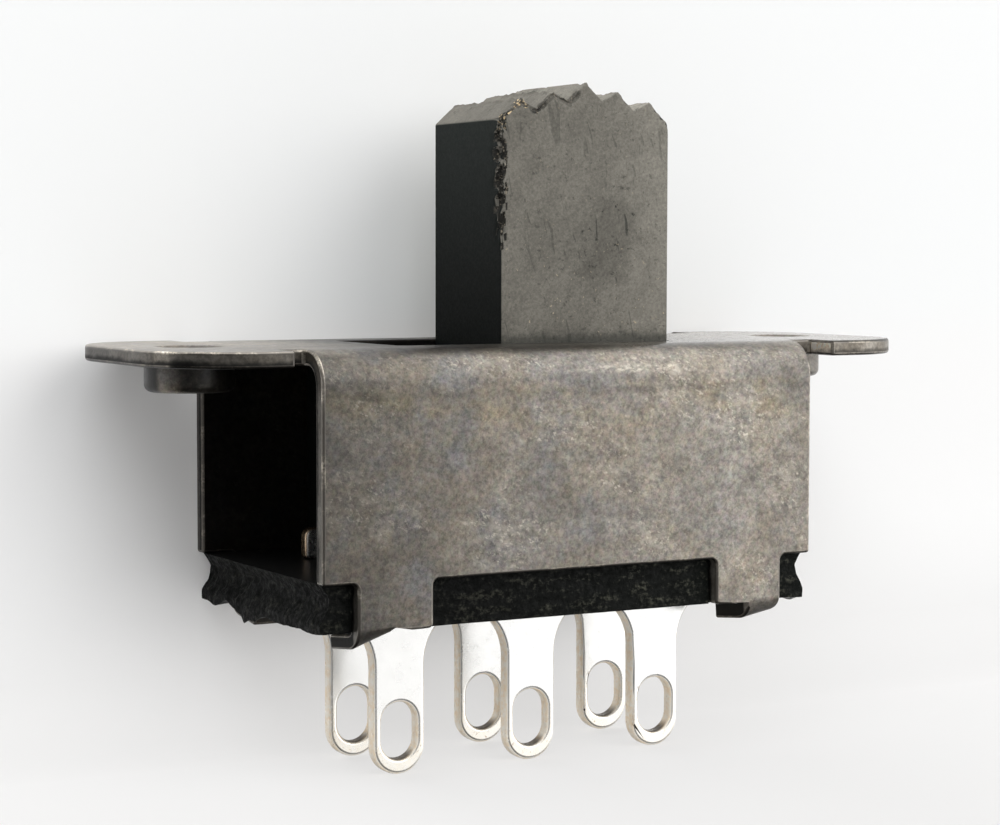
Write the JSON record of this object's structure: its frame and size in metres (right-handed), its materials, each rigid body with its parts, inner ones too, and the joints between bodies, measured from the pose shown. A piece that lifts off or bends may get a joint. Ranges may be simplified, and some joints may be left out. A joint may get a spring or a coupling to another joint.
{
  "type": "slide switch",
  "caption": "Panel-mount slide switch: a serrated knob slides in a flanged, folded sheet-metal frame over a board with pierced solder lugs.",
  "frame": {"origin": "centre of the flange's top face, midway between the two mounting holes", "axes": "+Z out of the panel through the knob, +X along the knob's travel, +Y towards the side plate with the two detent holes"},
  "size_m": [0.035, 0.0126, 0.0284],
  "materials": {
    "plated_steel": "tarnished, speckled plating",
    "black_knob": "dull moulding, scuffed and chipped along its edges",
    "black_board": "punched laminate with a glossy face and rough ends",
    "plated_brass": "bright plating, warm at the sheared edges",
    "spring_brass": "bare spring metal",
    "ball_steel": "polished",
    "spring_steel": "drawn wire"
  },
  "bodies": {
    "housing": {"frame": "plated_steel", "terminal_board": "black_board", "terminal_front_left": "plated_brass", "terminal_front_middle": "plated_brass", "terminal_front_right": "plated_brass", "terminal_rear_left": "plated_brass", "terminal_rear_middle": "plated_brass", "terminal_rear_right": "plated_brass"},
    "sliding_carriage": {"slider": "black_knob", "contact_clip_front": "spring_brass", "contact_clip_rear": "spring_brass", "detent_spring": "spring_steel"},
    "ball": {"detent_ball": "ball_steel"}
  },
  "joints": [
    {"name": "slider_travel", "type": "slide", "parent": "housing", "child": "sliding_carriage", "axis": [1, 0, 0], "range_m": [-0.0046, 0]},
    {"name": "detent_ball_travel", "type": "slide", "parent": "sliding_carriage", "child": "ball", "axis": [0, 1, 0], "range_m": [0, 0.0003], "stiffness_N_per_m": 200}
  ]
}
